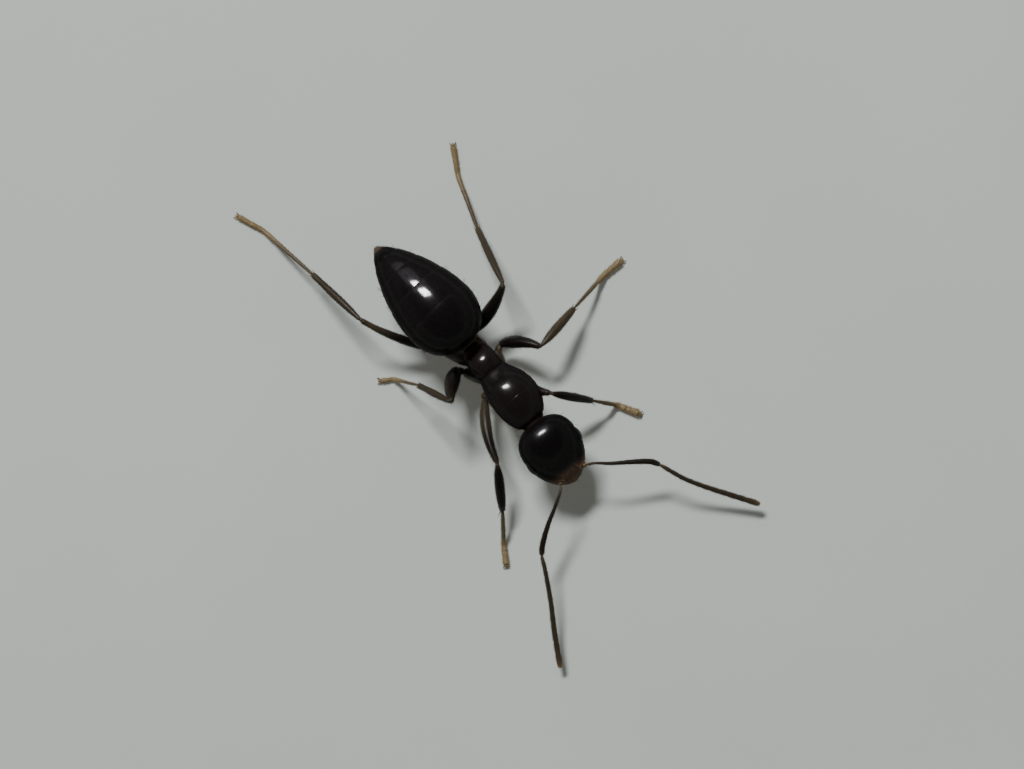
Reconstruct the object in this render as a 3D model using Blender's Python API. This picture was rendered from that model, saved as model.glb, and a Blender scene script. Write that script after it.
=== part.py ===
"""A worker ant, standing with all six feet down and both feelers reaching forward.

Every size below is in millimetres, and a piece is brought to metres, with the middle of
the stance over the origin, when it is finished. The head points to -Y, the ant's left
is +X and the feet stand on Z = 0.

The body plates are lofts and egg shapes parted by thin cuts, so neighbours face each
other across a small gap and never overlap. Legs and feelers are round-ended tubes cut
at each joint by the plane that halves the bend. They are kept near half a millimetre
thick, which is stouter than a real ant's, so that each is a sound solid.
"""

import math

import bmesh
import bpy
from mathutils import Matrix, Vector

MM = 0.001
MIDDLE = (0.575, 0.12, 0.0)  # the middle of the whole stance, which comes over the origin

# -- clearances ---------------------------------------------------------------------
GAP = 0.036  # left between two neighbouring pieces

# -- course of the body: (along Y, across X) of the mid line, seen from above -----------
MID_LINE = [
    (-3.75, 0.03), (-3.10, 0.14), (-2.40, 0.16), (-1.80, 0.18), (-0.95, 0.25),
    (0.00, 0.20), (0.90, 0.19), (1.95, 0.10), (3.00, 0.06), (4.35, -0.04),
]

# -- mesosoma: (along Y, half width, top Z, bottom Z) -----------------------------------
MESOSOMA = [
    (-1.84, 0.17, 1.74, 1.40), (-1.66, 0.40, 1.96, 1.24), (-1.35, 0.57, 2.13, 1.15),
    (-0.95, 0.635, 2.22, 1.12), (-0.52, 0.56, 2.15, 1.12), (-0.16, 0.43, 1.91, 1.14),
    (0.08, 0.39, 1.90, 1.15), (0.34, 0.39, 1.90, 1.15), (0.60, 0.33, 1.70, 1.16),
    (0.77, 0.23, 1.46, 1.20),
]
STERNUM_Z = 1.16  # flat underside that carries the coxae
GROOVE_Y = -0.03  # groove between the mesonotum and the propodeum

# -- petiole: (along Y, half width, top Z, bottom Z) ------------------------------------
PETIOLE = [(0.81, 0.15, 1.42, 1.22), (0.89, 0.25, 1.68, 1.18), (0.97, 0.24, 1.60, 1.18),
           (1.09, 0.15, 1.36, 1.20)]

# -- gaster: one egg, blunt in front and pointed behind, its tip hanging a little -------
GASTER_FRONT, GASTER_TIP = Vector((0.19, 0.84, 1.98)), Vector((-0.04, 4.33, 1.37))
GASTER_WIDE, GASTER_HIGH = 0.99, 0.87  # half width and half height where it is widest
GASTER_WIDEST = 0.32  # share of the length from the front
SEGMENT_ENDS = (0.34, 0.56, 0.74, 0.88)  # rear edges of segments one to four
NOTCH_POINT, NOTCH_SLOPE = Vector((0.19, 1.14, 1.47)), Vector((0, -0.85, -0.53))

# -- head: an egg that points forward and down ------------------------------------------
HEAD_AT = Vector((0.14, -2.72, 1.36))
HEAD_PITCH, HEAD_YAW = math.radians(30), math.radians(-5)
HEAD_BACK, HEAD_FRONT = -0.98, 1.02  # ends along the head's own axis
HEAD_WIDE, HEAD_TOP, HEAD_UNDER = 0.79, 0.60, 0.58
CLYPEUS_FROM = 0.63  # where the clypeus starts, along the head's axis
MOUTH_Z = -0.14  # height of the mouth line, on the head's upward axis
EYE_AT, EYE_SIZE = Vector((0.72, -0.12, 0.10)), Vector((0.10, 0.25, 0.20))

# -- limb thickness, as radii -----------------------------------------------------------
COXA_R, HIP_R = 0.225, 0.205
FEMUR_R, KNEE_R = 0.26, 0.235
TIBIA_R, TARSUS_R = 0.245, 0.24
SCAPE_R, FUNICULUS_R = 0.235, 0.245
SOCKET_R = 0.17  # the neck of the scape, where it leaves the head
FOOT_FLAT = 0.03  # how much of each foot is flattened against the floor

# -- the stance: each leg's joints from the body outward, as (left, back, up) -----------
LEGS = {
    "front_left": dict(
        coxa=(0.38, -0.38, 1.15), hip=(0.52, -0.20, 0.54), knee=(1.12, -1.48, 1.68),
        ankle=(1.70, -2.38, 0.76), heel=(2.11, -2.84, 0.0), toe=(2.45, -3.43, 0.0)),
    "front_right": dict(
        coxa=(-0.10, -0.42, 1.15), hip=(-0.38, -0.33, 0.62), knee=(-1.22, -1.93, 1.28),
        ankle=(-1.92, -2.99, 0.64), heel=(-2.43, -3.65, 0.0), toe=(-2.83, -4.19, 0.0)),
    "middle_left": dict(
        coxa=(0.42, 0.16, 1.15), hip=(0.58, 0.42, 0.60), knee=(1.58, -0.37, 1.38),
        ankle=(2.95, -0.20, 0.76), heel=(4.06, -0.07, 0.0), toe=(4.71, 0.00, 0.0)),
    "middle_right": dict(
        coxa=(-0.08, 0.12, 1.15), hip=(-0.42, 0.48, 0.64), knee=(-1.12, 0.05, 2.22),
        ankle=(-1.47, 0.93, 1.20), heel=(-1.93, 1.40, 0.0), toe=(-2.22, 1.69, 0.0)),
    "hind_left": dict(
        coxa=(0.42, 0.62, 1.13), hip=(0.20, 1.08, 0.60), knee=(1.88, 1.52, 1.70),
        ankle=(2.31, 3.03, 0.46), heel=(2.78, 4.05, 0.0), toe=(3.28, 5.14, 0.0)),
    "hind_right": dict(
        coxa=(-0.10, 0.64, 1.13), hip=(-0.42, 1.30, 0.62), knee=(-1.52, 3.14, 1.50),
        ankle=(-1.70, 4.93, 0.66), heel=(-1.98, 6.25, 0.0), toe=(-2.22, 7.41, 0.0)),
}

# -- the feelers: start of the scape, elbow, a bend on the way, and tip ------------------
FEELERS = {
    "left": dict(start=(0.66, -3.50, 1.54), elbow=(1.90, -4.60, 1.22),
                 way=(2.66, -5.95, 0.78), tip=(3.25, -7.14, 0.42)),
    "right": dict(start=(-0.46, -3.48, 1.53), elbow=(-1.70, -4.34, 1.12),
                  way=(-2.66, -5.75, 0.62), tip=(-3.45, -7.05, 0.34)),
}


# ---------------------------------------------------------------- materials and pieces


def material(name, colour, roughness):
    """A glossy chitin colour, shared by all the pieces that wear it."""
    found = bpy.data.materials.get(name)
    if found:
        return found
    made = bpy.data.materials.new(name)
    made.use_nodes = True
    made.diffuse_color = (*colour, 1)
    shader = made.node_tree.nodes["Principled BSDF"]
    shader.inputs["Base Color"].default_value = (*colour, 1)
    shader.inputs["Roughness"].default_value = roughness
    shader.inputs["Metallic"].default_value = 0
    return made


def black_shell():
    return material("black_shell", (0.020, 0.014, 0.012), 0.22)


def gaster_shell():
    return material("gaster_shell", (0.016, 0.012, 0.015), 0.18)


def red_shell():
    return material("red_shell", (0.140, 0.045, 0.025), 0.25)


def eye_black():
    return material("eye_black", (0.010, 0.010, 0.011), 0.20)


def leg_brown():
    return material("leg_brown", (0.045, 0.026, 0.016), 0.28)


def foot_tan():
    return material("foot_tan", (0.300, 0.180, 0.080), 0.45)


def feeler_brown():
    return material("feeler_brown", (0.060, 0.034, 0.020), 0.40)


def finish(bm, name, surface):
    """Bring a modelled piece to metres and show it under the ant."""
    bmesh.ops.remove_doubles(bm, verts=bm.verts, dist=1e-3)
    bmesh.ops.dissolve_degenerate(bm, dist=1e-4, edges=bm.edges)
    bmesh.ops.recalc_face_normals(bm, faces=bm.faces)
    bmesh.ops.translate(bm, vec=-Vector(MIDDLE), verts=bm.verts)
    bmesh.ops.scale(bm, vec=(MM, MM, MM), verts=bm.verts)
    mesh = bpy.data.meshes.new(name)
    bm.to_mesh(mesh)
    bm.free()
    mesh.materials.append(surface)
    piece = bpy.data.objects.new(name, mesh)
    bpy.context.scene.collection.objects.link(piece)
    piece.parent = bpy.data.objects["ant"]
    return piece


# --------------------------------------------------------------------- shaping helpers


def smooth(rows, at):
    """Values at a place on a smooth curve through rows of (place, value, ...)."""
    last = len(rows) - 1
    i = max(k for k in range(last) if k == 0 or rows[k][0] <= at)
    before, a, b, after = rows[max(i - 1, 0)], rows[i], rows[i + 1], rows[min(i + 2, last)]
    span = b[0] - a[0]
    t = min(max((at - a[0]) / span, 0), 1)
    found = []
    for k in range(1, len(a)):
        slope_a = (b[k] - before[k]) / (b[0] - before[0]) * span
        slope_b = (after[k] - a[k]) / (after[0] - a[0]) * span
        found.append(
            (2 * t**3 - 3 * t**2 + 1) * a[k] + (t**3 - 2 * t**2 + t) * slope_a
            + (3 * t**2 - 2 * t**3) * b[k] + (t**3 - t**2) * slope_b
        )
    return found


def mid_x(y):
    return smooth(MID_LINE, y)[0]


def egg(t, widest, front, rear):
    """Share of the full width at t, for an egg that closes at t = 0 and t = 1.
    front and rear are (power, root): a higher power is blunter, a higher root sharper."""
    if t < widest:
        power, root = front
        gone = (widest - t) / widest
    else:
        power, root = rear
        gone = (t - widest) / (1 - widest)
    return max(1 - min(gone, 1) ** power, 0) ** root


def crowded(count):
    """Stations from 0 to 1, closer together at both ends, where an egg curves most."""
    return [(1 - math.cos(math.pi * k / count)) / 2 for k in range(count + 1)]


def oval(centre, across, up, wide, top, under, sides, square=2.0):
    """One ring of points: an oval with its own height above and below its widest line."""
    ring = []
    for k in range(sides):
        turn = 2 * math.pi * k / sides
        c, s = math.cos(turn), math.sin(turn)
        x = math.copysign(abs(c) ** (2 / square), c) * wide
        z = math.copysign(abs(s) ** (2 / square), s) * (top if s > 0 else under)
        ring.append(centre + across * x + up * z)
    return ring


def skin(rings):
    """A closed surface over the rings, flat or pointed at its two ends."""
    bm = bmesh.new()
    rows = [[bm.verts.new(p) for p in ring] for ring in rings]
    for a, b in zip(rows, rows[1:]):
        for k in range(len(a)):
            n = (k + 1) % len(a)
            bm.faces.new((a[k], a[n], b[n], b[k]))
    bm.faces.new(rows[0][::-1])
    bm.faces.new(rows[-1])
    bmesh.ops.remove_doubles(bm, verts=bm.verts, dist=1e-3)
    bmesh.ops.dissolve_degenerate(bm, dist=1e-4, edges=bm.edges)
    bmesh.ops.recalc_face_normals(bm, faces=bm.faces)
    return bm


def cut(bm, point, away):
    """Cut off what lies beyond a plane, on the side that away points to, and cap it."""
    geom = bm.verts[:] + bm.edges[:] + bm.faces[:]
    made = bmesh.ops.bisect_plane(
        bm, geom=geom, dist=1e-3, plane_co=point, plane_no=away, clear_outer=True
    )
    rim = [e for e in made["geom_cut"] if isinstance(e, bmesh.types.BMEdge)]
    bmesh.ops.edgeloop_fill(bm, edges=rim)


# ------------------------------------------------------------------------- body plates


def plate_loft(rows, sides, square):
    """A loft along Y through rows of (Y, half width, top Z, bottom Z)."""
    rings = []
    steps = 2 * (len(rows) - 1)
    for k in range(steps + 1):
        y = rows[0][0] + (rows[-1][0] - rows[0][0]) * k / steps
        wide, top, bottom = smooth(rows, y)
        centre = Vector((mid_x(y), y, bottom + 0.6 * (top - bottom)))
        rings.append(oval(centre, Vector((1, 0, 0)), Vector((0, 0, 1)), wide,
                          top - centre.z, centre.z - bottom, sides, square))
    return skin(rings)


def mesosoma():
    """Promesonotum and propodeum: one loft parted at the groove, flat underneath."""
    for name, side in (("promesonotum", 1), ("propodeum", -1)):
        bm = plate_loft(MESOSOMA, 26, 2.1)
        groove = Vector((0, GROOVE_Y - side * GAP / 2, 0))
        cut(bm, groove, Vector((0, side, 0)))
        cut(bm, Vector((0, 0, STERNUM_Z)), Vector((0, 0, -1)))
        finish(bm, name, black_shell())


def petiole():
    """The low scale between the propodeum and the gaster."""
    finish(plate_loft(PETIOLE, 16, 2.2), "petiole", black_shell())


def gaster_whole():
    axis = GASTER_TIP - GASTER_FRONT
    length, along = axis.length, axis.normalized()
    across = Vector((0, 0, 1)).cross(along).normalized() * -1
    up = along.cross(across).normalized()
    up = up if up.z > 0 else -up
    rings = []
    for t in crowded(20):
        full = egg(t, GASTER_WIDEST, (2.1, 0.48), (1.7, 0.75))
        rings.append(oval(GASTER_FRONT + along * length * t, across, up,
                          max(GASTER_WIDE * full, 1e-4), max(GASTER_HIGH * full, 1e-4),
                          max(GASTER_HIGH * full, 1e-4), 30))
    return skin(rings), along, length


def gaster():
    """Five segments, cut from one egg across its own axis."""
    ends = (None, *SEGMENT_ENDS, None)
    for k in range(5):
        bm, along, length = gaster_whole()
        if ends[k] is None:
            cut(bm, NOTCH_POINT, NOTCH_SLOPE)
        else:
            cut(bm, GASTER_FRONT + along * (length * ends[k] + GAP / 2), -along)
        if ends[k + 1] is not None:
            cut(bm, GASTER_FRONT + along * (length * ends[k + 1] - GAP / 2), along)
        finish(bm, f"gaster_segment_{k + 1}", gaster_shell())


# -------------------------------------------------------------------------------- head


def head_frame():
    """From the head's own axes (left, forward, up) to the ant's."""
    turn = Matrix.Rotation(HEAD_YAW, 3, "Z") @ Matrix.Rotation(HEAD_PITCH, 3, "X")
    axes = turn @ Matrix(((1, 0, 0), (0, -1, 0), (0, 0, 1)))
    return Matrix.Translation(HEAD_AT) @ axes.to_4x4()


def head_whole():
    frame = head_frame()
    rings = []
    for t in crowded(16):
        forward = HEAD_BACK + (HEAD_FRONT - HEAD_BACK) * t
        wide = HEAD_WIDE * egg(t, 0.42, (3.2, 0.50), (1.9, 0.60))
        high = egg(t, 0.40, (2.6, 0.50), (1.8, 0.55))
        rings.append([frame @ p for p in oval(
            Vector((0, forward, 0)), Vector((1, 0, 0)), Vector((0, 0, 1)),
            max(wide, 1e-4), max(HEAD_TOP * high, 1e-4), max(HEAD_UNDER * high, 1e-4), 28,
            2.15)])
    return skin(rings)


def head_cut(bm, point, away):
    """A cut given in the head's own axes."""
    frame = head_frame()
    cut(bm, frame @ Vector(point), frame.to_3x3() @ Vector(away))


def head():
    """The capsule with a flat seat for each eye, and the clypeus before it."""
    bm = head_whole()
    head_cut(bm, (0, CLYPEUS_FROM - GAP / 2, 0), (0, 1, 0))
    for side in (1, -1):
        head_cut(bm, (side * (EYE_AT.x - GAP / 2), 0, 0), (side, 0, 0))
    finish(bm, "head", black_shell())

    bm = head_whole()
    head_cut(bm, (0, CLYPEUS_FROM + GAP / 2, 0), (0, -1, 0))
    head_cut(bm, (0, 0, MOUTH_Z + GAP / 2), (0, 0, -1))
    finish(bm, "clypeus", red_shell())


def eyes():
    """Two low domes on the sides of the head."""
    frame = head_frame()
    for name, side in (("eye_left", 1), ("eye_right", -1)):
        centre = Vector((side * EYE_AT.x, EYE_AT.y, EYE_AT.z))
        rings = []
        for t in crowded(8):
            tall = math.sin(math.pi * t)
            out = centre + Vector((side * EYE_SIZE.x * -math.cos(math.pi * t), 0, 0))
            rings.append([frame @ p for p in oval(
                out, Vector((0, 1, 0)), Vector((0, 0, 1)), max(EYE_SIZE.y * tall, 1e-4),
                max(EYE_SIZE.z * tall, 1e-4), max(EYE_SIZE.z * tall, 1e-4), 16)])
        bm = skin(rings)
        head_cut(bm, (side * (EYE_AT.x + GAP / 2), 0, 0), (-side, 0, 0))
        finish(bm, name, eye_black())


def mandibles():
    """Closed jaws: each a blade that tapers inward from the corner of the mouth."""
    frame = head_frame()
    root, tip = Vector((0.30, 0.70, -0.28)), Vector((0.07, 1.20, -0.30))
    for name, side in (("mandible_left", 1), ("mandible_right", -1)):
        rings = []
        for t in crowded(6):
            at = root.lerp(tip, t)
            at.x *= side
            full = egg(t * 0.82 + 0.12, 0.35, (2, 0.5), (2, 0.6))
            rings.append([frame @ p for p in oval(
                at, Vector((1, 0, 0)), Vector((0, 0, 1)), 0.25 * full, 0.20 * full,
                0.20 * full, 14)])
        bm = skin(rings)
        head_cut(bm, (side * GAP / 2, 0, 0), (-side, 0, 0))
        head_cut(bm, (0, CLYPEUS_FROM + GAP / 2, 0), (0, -1, 0))
        head_cut(bm, (0, 0, MOUTH_Z - GAP / 2), (0, 0, 1))
        finish(bm, name, red_shell())


# ------------------------------------------------------------------- legs and feelers


def tube(path, radii, sides=12, step=0.34):
    """A round-ended tube along a path of points, its radius running through radii."""
    path = [Vector(p) for p in path]
    ways = [(b - a).normalized() for a, b in zip(path, path[1:])]
    total, gone = sum((b - a).length for a, b in zip(path, path[1:])), 0.0
    stations = []  # (centre, direction, radius)

    def radius(length):
        place = length / total * (len(radii) - 1)
        k = min(int(place), len(radii) - 2)
        return radii[k] + (radii[k + 1] - radii[k]) * (place - k)

    def dome(centre, way, size, turns):
        for turn in turns:
            out, narrow = math.sin(math.radians(turn)), math.cos(math.radians(turn))
            stations.append((centre + way * size * out, way, max(size * narrow, 1e-4)))

    dome(path[0], ways[0], radii[0], (-90, -60, -30))
    for k, (a, b) in enumerate(zip(path, path[1:])):
        run = (b - a).length
        pieces = max(1, round(run / step))
        for i in range(pieces):
            way = ways[k] if i or not k else (ways[k] + ways[k - 1]).normalized()
            stations.append((a.lerp(b, i / pieces), way, radius(gone + run * i / pieces)))
        gone += run
    stations.append((path[-1], ways[-1], radii[-1]))
    dome(path[-1], ways[-1], radii[-1], (30, 60, 90))

    across, rings = ways[0].orthogonal(), []
    for centre, way, size in stations:
        across = (across - way * across.dot(way)).normalized()
        rings.append(oval(centre, across, way.cross(across), size, size, size, sides))
    return skin(rings)


def part_at(bm, joint, mine, other):
    """Cut a limb piece at a joint by the plane that halves the bend there."""
    joint, mine, other = Vector(joint), Vector(mine), Vector(other)
    toward = ((mine - joint).normalized() - (other - joint).normalized()).normalized()
    cut(bm, joint + toward * GAP / 2, -toward)


def leg(name, joints):
    """Coxa, femur, tibia and tarsus, out from under the body to a flattened foot."""
    coxa, hip, knee, ankle = (Vector(joints[k]) for k in ("coxa", "hip", "knee", "ankle"))
    sole = Vector((0, 0, TARSUS_R - FOOT_FLAT))
    heel, toe = Vector(joints["heel"]) + sole, Vector(joints["toe"]) + sole
    toe -= (toe - heel).normalized() * TARSUS_R
    heel = heel.lerp(toe, 0.12)

    bm = tube([coxa + (coxa - hip).normalized() * 0.1, hip], (COXA_R, COXA_R, HIP_R))
    cut(bm, Vector((0, 0, STERNUM_Z - GAP)), Vector((0, 0, 1)))
    part_at(bm, hip, coxa, knee)
    finish(bm, f"{name}_coxa", leg_brown())

    bm = tube([hip, knee], (HIP_R, FEMUR_R, FEMUR_R, KNEE_R))
    part_at(bm, hip, knee, coxa)
    part_at(bm, knee, hip, ankle)
    finish(bm, f"{name}_femur", leg_brown())

    bm = tube([knee, ankle], (KNEE_R, TIBIA_R, TIBIA_R, TARSUS_R))
    part_at(bm, knee, ankle, hip)
    part_at(bm, ankle, knee, heel)
    finish(bm, f"{name}_tibia", leg_brown())

    bm = tube([ankle, heel, toe], (TARSUS_R, TARSUS_R))
    part_at(bm, ankle, heel, knee)
    cut(bm, Vector((0, 0, 0)), Vector((0, 0, -1)))
    finish(bm, f"{name}_tarsus", foot_tan())


def feeler(name, joints):
    """A long straight scape and, beyond the elbow, the funiculus."""
    start, elbow, way, tip = (Vector(joints[k]) for k in ("start", "elbow", "way", "tip"))
    tip = tip + (way - tip).normalized() * FUNICULUS_R

    bm = tube([start, elbow], (SOCKET_R, SCAPE_R, SCAPE_R, SCAPE_R))
    part_at(bm, elbow, start, way)
    finish(bm, f"scape_{name}", feeler_brown())

    bm = tube([elbow, way, tip], (SCAPE_R, FUNICULUS_R, FUNICULUS_R), step=0.5)
    part_at(bm, elbow, way, start)
    finish(bm, f"funiculus_{name}", feeler_brown())


# ------------------------------------------------------------------------------ build


def main():
    for thing in list(bpy.data.objects):
        bpy.data.objects.remove(thing)
    ant = bpy.data.objects.new("ant", None)
    bpy.context.scene.collection.objects.link(ant)
    head()
    eyes()
    mandibles()
    mesosoma()
    petiole()
    gaster()
    for name, joints in LEGS.items():
        leg(name, joints)
    for name, joints in FEELERS.items():
        feeler(name, joints)


main()
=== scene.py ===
"""The looks of the ant: shell plates with seams, jointed limbs, faceted eyes and hairs.

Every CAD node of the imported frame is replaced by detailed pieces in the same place.
Lengths are millimetres in the CAD's layout (head towards -Y, the ant's left towards +X,
feet on Z = 0), and put() turns them into metres round the middle of the stance.

A part is a Sheet: a grid of points with rows along it and columns round it. Hairs grow
on the same sheets, so each hair knows its root's place on the skin.
"""

import math
from types import SimpleNamespace

import bmesh
import bpy
import numpy as np
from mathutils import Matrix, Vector


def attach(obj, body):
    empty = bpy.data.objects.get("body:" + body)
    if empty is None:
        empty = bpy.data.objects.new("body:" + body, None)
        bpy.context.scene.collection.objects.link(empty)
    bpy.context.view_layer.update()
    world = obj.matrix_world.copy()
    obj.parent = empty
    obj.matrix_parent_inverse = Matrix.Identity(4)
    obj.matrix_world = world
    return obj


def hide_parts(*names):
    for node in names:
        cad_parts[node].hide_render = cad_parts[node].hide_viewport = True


MM = 0.001
MIDDLE = np.array((0.575, 0.12, 0.0))  # the middle of the stance, as in the CAD
LOWEST = 0.002  # no point goes lower than this
RANDOM = np.random.default_rng(11)
SIDES = (("left", 1), ("right", -1))
UP = np.array((0.0, 0.0, 1.0))
SURFACES = {}  # the materials by name, filled by make_materials()

# -- body, as in the CAD --
MID_LINE = [  # (along Y, X of the middle)
    (-3.75, 0.03), (-3.1, 0.14), (-2.4, 0.16), (-1.8, 0.18), (-0.95, 0.25),
    (0.0, 0.2), (0.9, 0.19), (1.95, 0.1), (3.0, 0.06), (4.35, -0.04),
]
MESOSOMA = [  # (along Y, half width, top Z, bottom Z)
    (-1.84, 0.17, 1.74, 1.4), (-1.66, 0.4, 1.96, 1.24), (-1.35, 0.57, 2.13, 1.15),
    (-0.95, 0.635, 2.22, 1.12), (-0.52, 0.56, 2.15, 1.12), (-0.2, 0.445, 1.93, 1.14),
    (-0.05, 0.4, 1.875, 1.15), (0.08, 0.39, 1.885, 1.15), (0.34, 0.39, 1.865, 1.15),
    (0.56, 0.36, 1.75, 1.16), (0.7, 0.31, 1.59, 1.17), (0.8, 0.22, 1.42, 1.2),
    (0.86, 0.12, 1.33, 1.23),
]
GROOVE_Y = -0.03  # between the mesonotum and the propodeum
SEAM = 0.004  # between one plate of the mesosoma and the next
NECK = [(0.165, -2.06, 1.52), (0.172, -1.9, 1.55), (0.18, -1.72, 1.57)]
PETIOLE = [  # (along Y, half width, top Z, bottom Z)
    (0.76, 0.12, 1.34, 1.22), (0.82, 0.18, 1.44, 1.19), (0.87, 0.27, 1.64, 1.17),
    (0.92, 0.32, 1.8, 1.15), (0.98, 0.32, 1.78, 1.15), (1.05, 0.25, 1.57, 1.17),
    (1.12, 0.16, 1.42, 1.19), (1.22, 0.13, 1.37, 1.18), (1.44, 0.14, 1.38, 1.18),
]
GASTER_FRONT, GASTER_TIP = np.array((0.22, 0.82, 1.97)), np.array((-0.02, 4.32, 1.45))
GASTER_WIDE, GASTER_HIGH, GASTER_WIDEST = 1.0, 0.87, 0.32
ROUNDED = 0.028  # how far the ends of a gaster segment are rounded off
SEGMENTS = [  # (start, end, rows, how far the ends are rounded off, share rounded off)
    (0.0, 0.34, 90, 0.0, 0.004), (0.34, 0.56, 60, ROUNDED, 0.012),
    (0.56, 0.74, 50, ROUNDED, 0.012), (0.74, 0.88, 40, ROUNDED, 0.012),
    (0.88, 0.985, 40, 0.4 * ROUNDED, 0.012),
]
TUCK = 0.012  # how much of a gaster segment lies under the one before it
LIP = 0.013  # how far a segment's rear edge stands over the next one
NOTCH_POINT, NOTCH_SLOPE = np.array((0.19, 1.14, 1.47)), np.array((0, -0.85, -0.53))
NOTCH_SOFT = 0.1

# -- head, in its own axes (left, forward, up) --
HEAD_AT = np.array((0.1, -2.69, 1.36))
HEAD_PITCH, HEAD_YAW, HEAD_ROLL = math.radians(30), math.radians(-5), math.radians(5)
HEAD_BACK, HEAD_FRONT = -1.05, 1.02
HEAD_WIDE, HEAD_TOP, HEAD_UNDER = 0.805, 0.6, 0.58
EYE_AT, EYE_SIZE = np.array((0.725, -0.12, 0.1)), np.array((0.108, 0.25, 0.2))
EYE_SUNK = 0.01
LENS_STEP = 0.072  # from lens to lens, as a share of the eye's half size
LENS_RINGS = ((0.6, -0.004), (0.5, 0.0035), (0.28, 0.0065))  # (share of the step, lift)
SOCKET_AT, SOCKET_RIM = np.array((0.36, 0.62, 0.33)), 0.085  # where a feeler starts
CARINA = ((0.16, 0.3), (0.265, 0.62))  # the ridge beside a socket
CLYPEUS_SIDE = ((0.3, 0.68), (0.44, 0.86))
MOUTH_SLOPE, MOUTH_REACH = np.array((0, 0.639, -0.769)), 0.672  # plane of the mouth

JAW_OUTER = [  # (share of the blade, side, forward)
    (0, 0.5, 0.58), (0.3, 0.53, 0.83), (0.6, 0.43, 1.01), (0.85, 0.22, 1.14), (1, 0.01, 1.2)]
JAW_INNER = [
    (0, 0.3, 0.6), (0.25, 0.17, 0.74), (0.42, 0.018, 0.83), (0.7, 0.004, 0.99),
    (0.92, -0.002, 1.14), (1, -0.002, 1.2)]
JAW_THICK = [(0, 0.1), (0.3, 0.085), (0.6, 0.06), (0.85, 0.038), (1, 0.004)]
LOBES = [  # (middle, half size)
    ((0, 0.56, -0.42), (0.13, 0.3, 0.11)), ((0.17, 0.55, -0.38), (0.12, 0.27, 0.1)),
    ((-0.17, 0.55, -0.38), (0.12, 0.27, 0.1))]
PALPS = [  # (path, number of segments)
    ([(0.2, 0.66, -0.46), (0.27, 0.5, -0.58), (0.25, 0.22, -0.68), (0.19, -0.1, -0.7)], 6),
    ([(0.06, 0.72, -0.5), (0.09, 0.58, -0.6), (0.08, 0.4, -0.66)], 4)]

# -- the stance: each leg's joints, its femur's bow, its radii and its tones, some of them painted sheen --
LEGS = {
    "front_left": dict(
        coxa=(0.36, -1.0, 1.24), hip=(0.5, -0.34, 0.62), knee=(0.99, -1.44, 1.78),
        ankle=(1.71, -2.31, 0.8), heel=(2.11, -2.8, 0.0), toe=(2.46, -3.42, 0.0),
        bow=(-0.12, 0.0, 0.08), stout=1.0, shin=0.108, shank=0.04, foot=0.088, shade=0.03),
    "front_right": dict(
        coxa=(0.08, -1.0, 1.24), hip=(-0.32, -0.36, 0.64), knee=(-1.21, -1.92, 1.3),
        ankle=(-1.93, -2.99, 0.64), heel=(-2.46, -3.66, 0.0), toe=(-2.81, -4.18, 0.0),
        bow=(-0.1, 0.05, 0.08), stout=0.86, shin=0.124, shank=0.05, foot=0.076, shade=0.03,
        # the paler femur of this leg alone is a painted highlight
        pale=0.3),
    "middle_left": dict(
        coxa=(0.4, -0.06, 1.22), hip=(0.64, 0.24, 0.68), thigh=(0.84, 0.35, 0.64),
        knee=(1.58, -0.37, 1.38), ankle=(2.9, -0.17, 0.76), heel=(4.02, -0.02, 0.0),
        toe=(4.71, -0.01, 0.0), bow=(0.06, 0.06, 0.08), stout=0.95, shin=0.116, shank=0.036,
        foot=0.084, shade=0.36),
    "middle_right": dict(
        coxa=(0.02, -0.1, 1.22), hip=(-0.36, 0.42, 0.7), thigh=(-0.46, 0.58, 0.72),
        knee=(-1.1, 0.03, 2.22), ankle=(-1.47, 0.91, 1.2), heel=(-1.87, 1.45, 0.0),
        toe=(-2.22, 1.69, 0.0), bow=(-0.02, 0.06, 0.06), stout=1.15, shin=0.088, shank=0.034,
        foot=0.058, shade=0.28),
    "hind_left": dict(
        coxa=(0.36, 0.46, 1.2), hip=(0.42, 1.02, 0.66), knee=(1.88, 1.47, 1.7),
        ankle=(2.32, 3.04, 0.46), heel=(2.82, 4.4, 0.0), toe=(3.27, 5.15, 0.0),
        bow=(0.08, -0.05, 0.08), stout=1.05, shin=0.092, shank=0.048, foot=0.07, shade=0.3),
    "hind_right": dict(
        coxa=(0.04, 0.46, 1.2), hip=(-0.4, 1.14, 0.64), knee=(-1.51, 3.13, 1.5),
        ankle=(-1.71, 4.89, 0.66), heel=(-1.95, 6.55, 0.0), toe=(-2.25, 7.37, 0.0),
        bow=(-0.1, 0.0, 0.08), stout=0.68, shin=0.095, shank=0.048, foot=0.066, shade=0.27,
        knee_brown=0.26),
}
FEELERS = {
    "left": dict(
        scape=[(0.69, -3.55, 1.47), (1.01, -3.83, 1.45), (1.51, -4.2, 1.37),
               (1.83, -4.47, 1.29), (1.96, -4.69, 1.23)],
        funiculus=[(2.1, -5.09, 1.11), (2.22, -5.4, 1.01), (2.5, -5.91, 0.82),
                   (2.85, -6.47, 0.63), (3.28, -7.16, 0.42)]),
    "right": dict(
        scape=[(-0.43, -3.53, 1.46), (-0.85, -3.78, 1.42), (-1.27, -4.01, 1.33),
               (-1.7, -4.31, 1.19), (-1.89, -4.5, 1.12)],
        funiculus=[(-2.05, -4.82, 1.0), (-2.22, -5.12, 0.9), (-2.49, -5.58, 0.75),
                   (-2.88, -6.17, 0.55), (-3.41, -7.05, 0.34)]),
}

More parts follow.
